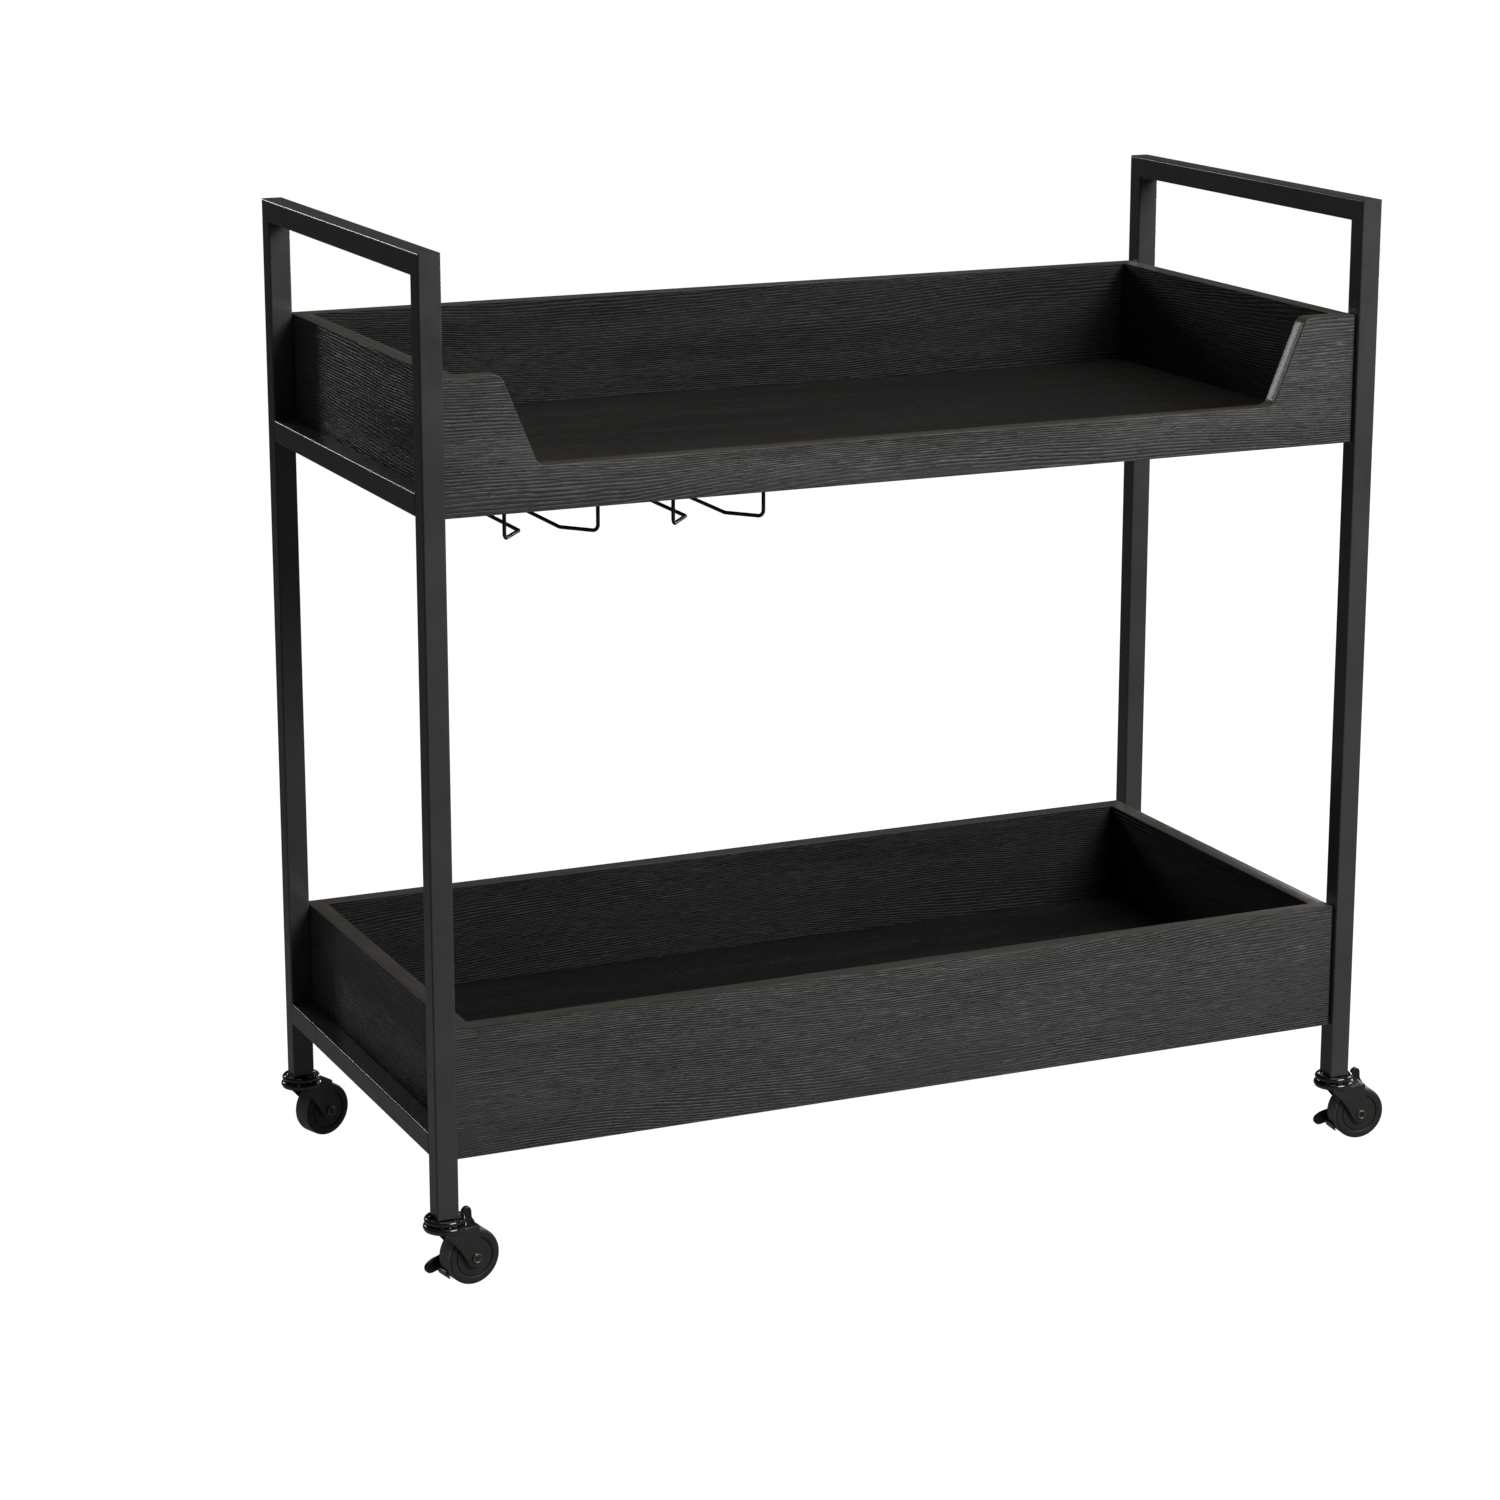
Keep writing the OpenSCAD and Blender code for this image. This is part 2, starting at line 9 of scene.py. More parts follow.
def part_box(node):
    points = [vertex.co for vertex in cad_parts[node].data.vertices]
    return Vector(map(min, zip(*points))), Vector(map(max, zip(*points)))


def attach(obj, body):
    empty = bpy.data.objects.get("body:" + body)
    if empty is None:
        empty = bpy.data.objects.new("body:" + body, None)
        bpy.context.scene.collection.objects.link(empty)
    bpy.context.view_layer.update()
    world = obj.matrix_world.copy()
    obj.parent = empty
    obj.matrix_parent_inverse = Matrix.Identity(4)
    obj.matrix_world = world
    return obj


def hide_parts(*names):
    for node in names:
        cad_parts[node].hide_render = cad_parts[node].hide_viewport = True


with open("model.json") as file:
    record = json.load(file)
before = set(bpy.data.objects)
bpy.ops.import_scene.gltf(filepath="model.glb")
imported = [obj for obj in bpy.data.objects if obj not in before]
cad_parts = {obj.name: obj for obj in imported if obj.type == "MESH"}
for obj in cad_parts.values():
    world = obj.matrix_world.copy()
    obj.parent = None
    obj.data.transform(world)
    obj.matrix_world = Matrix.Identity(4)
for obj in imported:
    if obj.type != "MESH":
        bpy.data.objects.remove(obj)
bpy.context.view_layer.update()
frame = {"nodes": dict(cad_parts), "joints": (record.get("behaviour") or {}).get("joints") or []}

scene = bpy.context.scene

# ---------------------------------------------------------------- places
lo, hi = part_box("left_front_leg")
OX, OY = lo[0] + 0.435, lo[1] + 0.200          # the cart's centre line in the shared frame


def P(x, y, z):
    """A place given in millimetres from the cart's centre line and the floor."""
    return Vector((OX + x / 1000, OY + y / 1000, z / 1000))


# ---------------------------------------------------------------- camera
F_PX, CX, CY = 3884.0, 750.0, 700.0
cam_data = bpy.data.cameras.new("camera")
cam = bpy.data.objects.new("camera", cam_data)
scene.collection.objects.link(cam)
cam_data.sensor_width = 36
cam_data.lens = 36 * F_PX / 1500
cam_data.shift_x = -(CX - 750) / 1500
cam_data.shift_y = (CY - 750) / 1500
cam_data.clip_start, cam_data.clip_end = 0.1, 60
yaw, pitch, roll = (math.radians(a) for a in (-24.169, -13.976, 0.005))
turn = Matrix.Rotation(yaw, 3, "Z") @ Matrix.Rotation(pitch, 3, "X") @ Matrix.Rotation(roll, 3, "Y")
right, ahead, up = (turn.col[i] for i in range(3))
m = Matrix((right, up, -ahead)).transposed().to_4x4()
m.translation = P(-1415.5, -3005.5, 1235.6)
cam.matrix_world = m
scene.camera = cam

# ---------------------------------------------------------------- node helpers


class Nodes:
    """A small builder for shader trees."""

    def __init__(self, name):
        self.mat = bpy.data.materials.new(name)
        self.mat.use_nodes = True
        self.t = self.mat.node_tree
        self.bsdf = self.t.nodes["Principled BSDF"]
        self.x = -1200

    def n(self, kind, **sockets):
        node = self.t.nodes.new(kind)
        node.location = (self.x, -300)
        self.x += 40
        for k, v in sockets.items():
            self.put(node, k, v)
        return node

    def put(self, node, key, v):
        s = node.inputs[int(key[1:])] if key[0] == "i" and key[1:].isdigit() else node.inputs[key.replace("_", " ")]
        if isinstance(v, bpy.types.NodeSocket):
            self.t.links.new(v, s)
        else:
            s.default_value = v

    def math(self, op, a, b=None, c=None, clamp=False):
        node = self.n("ShaderNodeMath")
        node.operation, node.use_clamp = op, clamp
        for i, v in enumerate((a, b, c)):
            if v is not None:
                self.put(node, f"i{i}", v)
        return node.outputs[0]

    def noise(self, vec, scale, detail=2.0, rough=0.5, dist=0.0):
        node = self.n("ShaderNodeTexNoise", Vector=vec, Scale=scale, Detail=detail, Roughness=rough, Distortion=dist)
        return node.outputs[0]

    def scaled(self, vec, s, off=(0, 0, 0)):
        node = self.n("ShaderNodeMapping", Vector=vec, Location=off, Scale=s)
        return node.outputs[0]

    def ramp(self, fac, stops, interp="LINEAR"):
        node = self.n("ShaderNodeValToRGB")
        self.put(node, "Fac", fac)
        r = node.color_ramp
        r.interpolation = interp
        while len(r.elements) > 1:
            r.elements.remove(r.elements[-1])
        r.elements[0].position, r.elements[0].color = stops[0][0], (*stops[0][1], 1)
        for p, c in stops[1:]:
            e = r.elements.new(p)
            e.color = (*c, 1)
        return node.outputs[0]

    def mix(self, fac, a, b, mode="MIX"):
        node = self.n("ShaderNodeMix")
        node.data_type, node.blend_type = "RGBA", mode
        self.put(node, "i0", fac)
        for i, v in ((6, a), (7, b)):
            self.put(node, f"i{i}", (*v, 1) if isinstance(v, tuple) and len(v) == 3 else v)
        return node.outputs[2]

    def map(self, v, a, b, c, d, clamp=True):
        node = self.n("ShaderNodeMapRange")
        node.clamp = clamp
        for i, x in enumerate((v, a, b, c, d)):
            self.put(node, f"i{i}", x)
        return node.outputs[0]

    def bump(self, height, strength, distance):
        node = self.n("ShaderNodeBump", Strength=strength, Distance=distance, Height=height)
        return node.outputs[0]

    def obj(self):
        return self.n("ShaderNodeTexCoord").outputs["Object"]

    def out(self, **sockets):
        for k, v in sockets.items():
            self.put(self.bsdf, k, v)
        return self.mat


# ---------------------------------------------------------------- materials


def powder(name, base, rough=0.42, spec=0.35, tint=(0.0, 0.0, 0.0)):
    """Satin powder coat: fine orange peel, faint mottling and a little dust."""
    N = Nodes(name)
    o = N.obj()
    fine = N.noise(o, 900.0, 2.0, 0.6)
    peel = N.noise(o, 260.0, 2.0, 0.5)
    cloud = N.noise(o, 14.0, 3.0, 0.55)
    k = N.map(cloud, 0.3, 0.7, 0.86, 1.14)
    col = N.mix(N.map(fine, 0.35, 0.7, 0.0, 0.35), tuple(base), tuple(min(1, b * 1.6 + 0.004) for b in base))
    col = N.mix(1.0, col, N.n("ShaderNodeCombineColor", i0=k, i1=k, i2=k).outputs[0], "MULTIPLY")
    r = N.map(N.noise(o, 40.0, 3.0, 0.6), 0.3, 0.7, rough - 0.05, rough + 0.07)
    h = N.math("ADD", N.math("MULTIPLY", peel, 0.7), N.math("MULTIPLY", fine, 0.3))
    return N.out(Base_Color=col, Roughness=r, Specular_IOR_Level=spec, Coat_Weight=0.32, Coat_Roughness=0.12, Normal=N.bump(h, 0.22, 0.00035))


def laminate(name, along, across, off, dark=1.0, tone=(1.01, 1.0, 0.965), rough=0.5, lines=1.2, sheen=0.42, relief=1.0):
    """Embossed wood-grain laminate. along is the grain's axis, across the axis in the face that the grain lines step over."""
    N = Nodes(name)
    o = N.obj()
    sep = N.n("ShaderNodeSeparateXYZ", Vector=o)
    u = N.math("ADD", sep.outputs["XYZ".index(along)], off[0])
    v = N.math("ADD", sep.outputs["XYZ".index(across)], off[1])
    w = sep.outputs[3 - "XYZ".index(along) - "XYZ".index(across)]
    # plane of the figure, metres along and across
    flat = N.n("ShaderNodeCombineXYZ", X=u, Y=v, Z=N.math("MULTIPLY", w, 0.15)).outputs[0]
    slow = N.noise(N.scaled(flat, (1.7, 6.0, 3.0)), 1.0, 1.0, 0.4)
    mid = N.noise(N.scaled(flat, (7.0, 22.0, 5.0)), 1.0, 2.0, 0.5)
    wob = N.noise(N.scaled(flat, (42.0, 150.0, 9.0)), 1.0, 2.0, 0.5)
    pitch = N.noise(N.scaled(flat, (0.9, 17.0, 3.0), off=(3.1, 7.7, 0.0)), 1.0, 1.0, 0.4)
    y = N.math("MULTIPLY_ADD", N.math("SUBTRACT", slow, 0.5), 0.062, v)
    y = N.math("MULTIPLY_ADD", N.math("SUBTRACT", mid, 0.5), 0.0075, y)
    y = N.math("MULTIPLY_ADD", N.math("SUBTRACT", wob, 0.5), 0.0011, y)
    # year rings: the spacing drifts between about 1.5 and 5 mm
    ring = N.math("MULTIPLY_ADD", pitch, 11.0, N.math("MULTIPLY", y, 430.0))
    saw = N.math("FRACT", ring)
    line = N.ramp(saw, [(0.0, (0.0,) * 3), (0.14, (0.42,) * 3), (0.36, (0.85,) * 3), (0.62, (1.0,) * 3), (0.80, (0.72,) * 3), (0.92, (0.18,) * 3), (1.0, (0.0,) * 3)])
    fade = N.map(N.noise(N.scaled(flat, (4.0, 34.0, 5.0)), 1.0, 2.0, 0.5), 0.34, 0.60, 0.30, 1.0)
    # fibre: fine streaks along the grain, dark pores and short light dashes
    fib = N.noise(N.scaled(flat, (34.0, 1150.0, 40.0)), 1.0, 2.0, 0.55)
    dash = N.noise(N.scaled(flat, (58.0, 760.0, 30.0), off=(5.0, 1.0, 0.0)), 1.0, 1.0, 0.4)
    pore = N.noise(N.scaled(flat, (70.0, 980.0, 30.0), off=(1.0, 9.0, 2.0)), 1.0, 1.0, 0.4)
    patch = N.noise(N.scaled(flat, (2.6, 15.0, 3.0)), 1.0, 2.0, 0.55)
    base = 0.046 * dark
    tint = lambda k: tuple(base * k * t for t in tone)
    k_line = N.math("MULTIPLY", N.math("MULTIPLY", N.math("SUBTRACT", 1.0, line), fade), lines, clamp=True)
    col = N.mix(k_line, tint(1.12), tint(0.34))
    col = N.mix(N.map(fib, 0.38, 0.66, 0.0, 0.75), col, tint(0.52))
    col = N.mix(N.math("MULTIPLY", N.map(pore, 0.60, 0.70, 0.0, 1.0), 0.75), col, tint(0.16))
    col = N.mix(N.math("MULTIPLY", N.map(dash, 0.62, 0.72, 0.0, 1.0), N.map(patch, 0.36, 0.60, 0.15, 0.85)), col, tint(2.3))
    k = N.map(patch, 0.3, 0.7, 0.86, 1.14)
    col = N.mix(1.0, col, N.n("ShaderNodeCombineColor", i0=k, i1=k, i2=k).outputs[0], "MULTIPLY")
    h = N.math("MULTIPLY", line, N.math("MULTIPLY", fade, 0.9))
    h = N.math("ADD", h, N.math("MULTIPLY", fib, 0.5))
    h = N.math("ADD", h, N.math("MULTIPLY", N.map(pore, 0.60, 0.70, 0.0, 1.0), -0.35))
    r = N.map(fib, 0.3, 0.7, rough - 0.05, rough + 0.1)
    return N.out(Base_Color=col, Roughness=r, Specular_IOR_Level=sheen, Normal=N.bump(h, 0.85, 0.00075 * relief))


def band(name, along, base=(0.060, 0.053, 0.044)):
    """Edge band: thin plastic strip with fine lines along its length."""
    N = Nodes(name)
    o = N.obj()
    s = [900.0, 900.0, 900.0]
    s["XYZ".index(along)] = 9.0
    lines = N.noise(N.scaled(o, tuple(s)), 1.0, 2.0, 0.55)
    cloud = N.noise(o, 30.0, 3.0, 0.5)
    col = N.mix(N.map(lines, 0.35, 0.65, 0.0, 1.0), tuple(b * 0.68 for b in base), tuple(b * 1.25 for b in base))
    k = N.map(cloud, 0.3, 0.7, 0.88, 1.12)
    col = N.mix(1.0, col, N.n("ShaderNodeCombineColor", i0=k, i1=k, i2=k).outputs[0], "MULTIPLY")
    # shallow ribs along the strip, four across its width
    sep = N.n("ShaderNodeSeparateXYZ", Vector=o)
    rib = N.math("SINE", N.math("MULTIPLY", sep.outputs["YX".index(along)], 1530.0))
    h = N.math("MULTIPLY_ADD", rib, 0.55, lines)
    return N.out(Base_Color=col, Roughness=N.map(lines, 0.3, 0.7, 0.30, 0.44), Specular_IOR_Level=0.5, Coat_Weight=0.35, Coat_Roughness=0.2, Normal=N.bump(h, 0.3, 0.0003))


def plain(name, base, rough, metal=0.0, spec=0.5, grain=500.0, bump=0.15, dist=0.0002, coat=0.0, vary=0.12, wear=None):
    """Moulded, painted or plated surface with fine texture, mottling and an optional second tone in worn patches."""
    N = Nodes(name)
    o = N.obj()
    g = N.noise(o, grain, 3.0, 0.6)
    cloud = N.noise(o, 60.0, 3.0, 0.6)
    k = N.map(cloud, 0.3, 0.7, 1 - vary, 1 + vary)
    col = N.mix(1.0, (*base, 1.0), N.n("ShaderNodeCombineColor", i0=k, i1=k, i2=k).outputs[0], "MULTIPLY")
    if wear:
        spots = N.noise(o, 190.0, 4.0, 0.65)
        col = N.mix(N.map(spots, 0.56, 0.68, 0.0, 0.55), col, tuple(wear))
    r = N.map(N.noise(o, 120.0, 3.0, 0.6), 0.3, 0.7, rough * 0.85, min(1.0, rough * 1.2))
    N.out(Base_Color=col, Roughness=r, Metallic=metal, Specular_IOR_Level=spec, Normal=N.bump(g, bump, dist))
    if coat:
        N.out(Coat_Weight=coat, Coat_Roughness=0.08)
    return N.mat


PAINT = powder("frame_powder_coat", (0.035, 0.0354, 0.0362), rough=0.38, spec=0.38)
GLOSS = plain("gloss_black", (0.006, 0.006, 0.0065), 0.14, spec=0.6, grain=160.0, bump=0.10, dist=0.0004, coat=0.5)
FORK = plain("fork_black", (0.017, 0.0165, 0.0155), 0.33, spec=0.5, grain=420.0, bump=0.22, dist=0.0003, wear=(0.032, 0.026, 0.02))
WHEEL = plain("wheel_plastic", (0.017, 0.0168, 0.0162), 0.46, spec=0.4, grain=700.0, bump=0.18, dist=0.0002)
TREAD = plain("tyre_tread", (0.165, 0.155, 0.137), 0.66, spec=0.3, grain=600.0, bump=0.3, dist=0.0003, vary=0.25, wear=(0.29, 0.268, 0.228))
STEEL = plain("zinc_steel", (0.52, 0.51, 0.49), 0.32, metal=1.0, grain=800.0, bump=0.2, dist=0.0002, wear=(0.36, 0.34, 0.31))
SHADED_STEEL = plain("blackened_steel", (0.05, 0.05, 0.05), 0.4, metal=1.0, grain=800.0, bump=0.2, dist=0.0002, wear=(0.12, 0.11, 0.10))
RIVET = plain("rivet_steel", (0.20, 0.175, 0.15), 0.42, metal=1.0, grain=600.0, bump=0.25, dist=0.0002, wear=(0.14, 0.11, 0.09))
# painted shade: near-black colour for the rivet's bore, standing in for the shade in its hole
RIVET_BORE_SHADE = plain("rivet_bore_painted_shade", (0.007, 0.007, 0.007), 0.62, spec=0.3, grain=500.0, bump=0.15)
BEECH = plain("beech", (0.52, 0.36, 0.2), 0.6, grain=300.0, bump=0.3, dist=0.0004)
LEVER = plain("lever_plastic", (0.0075, 0.008, 0.0075), 0.36, spec=0.45, grain=360.0, bump=0.2, dist=0.0003)
PLUG = plain("plug_plastic", (0.012, 0.012, 0.012), 0.5, grain=400.0)
WIRE = plain("rack_wire", (0.008, 0.008, 0.0085), 0.3, spec=0.5, grain=500.0, bump=0.1, dist=0.0002)
SEAM = plain("edge_seam", (0.044, 0.029, 0.025), 0.42, spec=0.4, grain=420.0, bump=0.2, vary=0.3, wear=(0.075, 0.055, 0.045))
BACKER = plain("board_backer", (0.030, 0.029, 0.028), 0.6, grain=260.0, bump=0.3, dist=0.0003, vary=0.1)
BAND = {a: band(f"edge_band_{a}", a) for a in "XY"}

# painted shade: the boards' inside faces get a darker, bluer copy of the outer laminate, standing in for the shade
# inside the trays
INNER_PAINTED_SHADE = dict(dark=0.205, tone=(0.94, 1.0, 1.08), rough=0.56, sheen=0.26, relief=0.85)

# ---------------------------------------------------------------- mesh helpers
mm = 0.001


def piece(name, verts, faces, mats, idx, body, angle=35.0):
    me = bpy.data.meshes.new(name)
    me.from_pydata([tuple(v) for v in verts], [], faces)
    for m_ in mats:
        me.materials.append(m_)
    me.polygons.foreach_set("material_index", idx)
    me.validate()
    bm = bmesh.new()
    bm.from_mesh(me)
    bmesh.ops.remove_doubles(bm, verts=bm.verts, dist=1e-6)
    bmesh.ops.recalc_face_normals(bm, faces=bm.faces)
    bm.to_mesh(me)
    bm.free()
    me.shade_smooth()
    me.set_sharp_from_angle(angle=math.radians(angle))
    o = bpy.data.objects.new(name, me)
    scene.collection.objects.link(o)
    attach(o, body)
    return o


class Build:
    """Collects the faces of one piece, part by part."""

    def __init__(self):
        self.v, self.f, self.m = [], [], []

    def add(self, verts, faces, mats):
        n = len(self.v)
        self.v += [Vector(p) for p in verts]
        self.f += [tuple(i + n for i in f) for f in faces]
        self.m += mats if isinstance(mats, list) else [mats] * len(faces)

    def move(self, matrix):
        self.v = [matrix @ p for p in self.v]


def rounded_outline(points, n=8):
    """Points are (x, y, radius); the corners with a radius become arcs."""
    out = []
    for i, (x, y, r) in enumerate(points):
        if not r:
            out.append(Vector((x, y)))
            continue
        p = Vector((x, y))
        a = (Vector(points[i - 1][:2]) - p).normalized()
        b = (Vector(points[(i + 1) % len(points)][:2]) - p).normalized()
        half = a.angle(b) / 2
        c = p + (a + b).normalized() * (r / math.sin(half))
        p0, p1 = p + a * (r / math.tan(half)), p + b * (r / math.tan(half))
        a0 = math.atan2(*(p0 - c).yx)
        a1 = math.atan2(*(p1 - c).yx)
        d = (a1 - a0 + math.pi) % (2 * math.pi) - math.pi
        out += [c + r * Vector((math.cos(a0 + d * k / n), math.sin(a0 + d * k / n))) for k in range(n + 1)]
    return out


def inset(pts, d):
    """The outline, which runs anticlockwise, moved inwards by d."""
    out = []
    for i, p in enumerate(pts):
        a = (p - pts[i - 1]).normalized()
        b = (pts[(i + 1) % len(pts)] - p).normalized()
        na, nb = Vector((-a.y, a.x)), Vector((-b.y, b.x))
        n = (na + nb).normalized()
        out.append(p + n * (d / max(0.35, n.dot(na))))
    return out


def slab(b, pts, lo_, hi_, bevel, place, low=0, high=0, ring=0, rim=0):
    """A sheet with rounded edges. place(p, h) gives the 3-D point of an outline point at height h."""
    steps = [(0.0, bevel), (0.076 * bevel, 0.617 * bevel), (0.293 * bevel, 0.293 * bevel), (0.617 * bevel, 0.076 * bevel), (bevel, 0.0)]
    rings = [(lo_ + h, d) for h, d in steps] + [(hi_ - h, d) for h, d in reversed(steps)]
    n = len(pts)
    verts, faces, mats = [], [], []
    for h, d in rings:
        verts += [place(q, h) for q in (inset(pts, d) if d else pts)]
    for r in range(len(rings) - 1):
        for i in range(n):
            j = (i + 1) % n
            faces.append((r * n + i, r * n + j, (r + 1) * n + j, (r + 1) * n + i))
            mats.append(rim if r == 4 else ring)
    faces.append(tuple(reversed(range(n))))
    mats.append(low)
    faces.append(tuple(range((len(rings) - 1) * n, len(rings) * n)))
    mats.append(high)
    b.add(verts, faces, mats)


def lathe(b, profile, place, mats=None, n=64, closed=False):
    """Profile is a list of (radius, height); place(x, y, h) gives the 3-D point. mats has one number for each stretch."""
    verts, faces, mm_ = [], [], []
    k = len(profile)
    for r, h in profile:
        verts += [place(max(r, 1e-5) * math.cos(2 * math.pi * i / n), max(r, 1e-5) * math.sin(2 * math.pi * i / n), h) for i in range(n)]
    for s_ in range(k if closed else k - 1):
        for i in range(n):
            j, t = (i + 1) % n, (s_ + 1) % k
            faces.append((s_ * n + i, s_ * n + j, t * n + j, t * n + i))
            mm_.append(mats[s_] if mats else 0)
    b.add(verts, faces, mm_)


# ---------------------------------------------------------------- trays
for level in ("upper", "lower"):
    for i, (side, ax) in enumerate((("front", "Y"), ("back", "Y"), ("left", "X"), ("right", "X"))):
        node = f"{level}_{side}_panel"
        l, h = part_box(node)
        al = "X" if ax == "Y" else "Y"
        k = 0 if ax == "X" else 1                     # the axis through the board
        shift = (0.37 * i + (0.83 if level == "lower" else 0.0), 0.113 * i + (0.31 if level == "lower" else 0.05))
        outer = laminate(f"laminate_{node}", al, "Z", shift)
        # painted shade on the inside face: the same laminate, darkened and tinted blue
        inner = laminate(f"laminate_{node}_inside_painted_shade", al, "Z", (shift[0] + 0.19, shift[1] + 0.07), **INNER_PAINTED_SHADE)
        u0, u1 = (l[0], h[0]) if ax == "Y" else (l[1], h[1])
        z0, z1 = l[2], h[2]
        if node == "upper_front_panel":
            c = OX
            zl, r = z0 + 36.5 * mm, 9 * mm
            pts = rounded_outline([(u0, z0, 0), (u1, z0, 0), (u1, z1, 0), (c + 366.5 * mm, z1, r), (c + 336 * mm, zl, r),
                                   (c - 336 * mm, zl, r), (c - 366.5 * mm, z1, r), (u0, z1, 0)])
        else:
            pts = [Vector(p) for p in ((u0, z0), (u1, z0), (u1, z1), (u0, z1))]
        b = Build()
        put = (lambda q, t: (q[0], t, q[1])) if ax == "Y" else (lambda q, t: (t, q[0], q[1]))
        outer_low = side in ("front", "left")
        slab(b, pts, l[k], h[k], 0.5 * mm, put, low=0 if outer_low else 1, high=1 if outer_low else 0, ring=2, rim=3)
        o = piece(f"{node}_board", b.v, b.f, [outer, inner, SEAM, BAND[al]], b.m, "frame", angle=50)
        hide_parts(node)

# painted shade: the tray floors are the same laminate darkened to 0.12, the lower one also bluer, standing in for the
# shade inside the trays
FLOOR = {level: laminate(f"laminate_{level}_floor_painted_shade", "X", "Y", (0.53 if level == "upper" else 1.31, 0.2), dark=0.12, tone=(1.0, 0.98, 0.93) if level == "upper" else (0.92, 1.0, 1.1),
                         rough=0.44, lines=0.6) for level in ("upper", "lower")}

# ---------------------------------------------------------------- weld fillets in the frame's inside corners
b = Build()
for sx in (-1, 1):
    l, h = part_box(f"{'left' if sx < 0 else 'right'}_front_leg")
    x0, x1 = l[0] + 1.5 * mm, h[0] - 1.5 * mm
    y_in = h[1]                                      # the leg's inner face at the front
    l2, h2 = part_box(f"{'left' if sx < 0 else 'right'}_handle_bar")
    unders = [(h2[2] - (h[0] - l[0]), 2.6)]
    for rail in ("upper", "lower"):
        unders.append((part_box(f"{'left' if sx < 0 else 'right'}_{rail}_rail")[0][2], 1.5))
    for z_under, r in unders:
        r *= mm
        for sy in (-1, 1):
            yf = y_in if sy < 0 else 2 * OY - y_in
            prof = [(0, 0), (r, 0)] + [(r - r * math.sin(t * math.pi / 16), -(r - r * math.cos(t * math.pi / 16))) for t in range(1, 8)] + [(0, -r)]
            verts, n = [], len(prof)
            for x in (x0, x1):
                verts += [(x, yf - sy * (p + 0.0) + sy * 0.05 * mm, z_under + q + 0.05 * mm) for p, q in prof]
            faces = [tuple(range(n)), tuple(range(n, 2 * n))] + [(i, (i + 1) % n, n + (i + 1) % n, n + i) for i in range(n)]
            b.add(verts, faces, 0)
piece("weld_fillets", b.v, b.f, [PAINT], b.m, "frame")

# ---------------------------------------------------------------- casters
CORNERS = {"front_left": (-1, -1), "front_right": (1, -1), "rear_left": (-1, 1), "rear_right": (1, 1)}
TRAIL, AXLE_Z, CROWN, WHEEL_R, TYRE_W = 22.5, 24.0, 50.7, 24.0, 19.0
PLATE_IN, PLATE_OUT, NOSE = 10.6, 12.4, 25.9
LEVER_Y, LEVER_T = 14.0, 2.5
joint = {j["name"]: j for j in frame["joints"]}


def lever_radius(t):
    """The brake lever's outline as a distance from the axle, in the direction t."""
    best = 8.5
    for ang, reach, w0, w1 in ((77, 31, 6.5, 4.5), (202, 30, 6.5, 5.0)):
        d = (t - math.radians(ang) + math.pi) % (2 * math.pi) - math.pi
        c, s_ = math.cos(d), math.sin(d)
        if c > 0.05:
            # the straight side, then the round tip
            slope = (w1 - w0) / reach
            side = w0 / max(1e-6, abs(s_) - slope * c)
            if side * c < reach:
                best = max(best, side)
            disc = reach * reach * c * c - reach * reach + w1 * w1
            if disc > 0:
                best = max(best, reach * c + math.sqrt(disc))
    poly = [(7.5, -4), (14.5, 19), (13.8, 21.2), (10, 26.5), (-2, 24), (-7.5, 0)]
    dx, dy = math.cos(t), math.sin(t)
    for i, (x0, y0) in enumerate(poly):
        x1, y1 = poly[(i + 1) % len(poly)]
        ex, ey = x1 - x0, y1 - y0
        den = dx * ey - dy * ex
        if abs(den) > 1e-9:
            k = (x0 * ey - y0 * ex) / den
            q = (x0 * dy - y0 * dx) / den
            if k > 0 and 0 <= q <= 1:
                best = max(best, k)
    return best


def smooth(v, a, b_):
    t = min(1.0, max(0.0, (v - a) / (b_ - a)))
    return t * t * (3 - 2 * t)


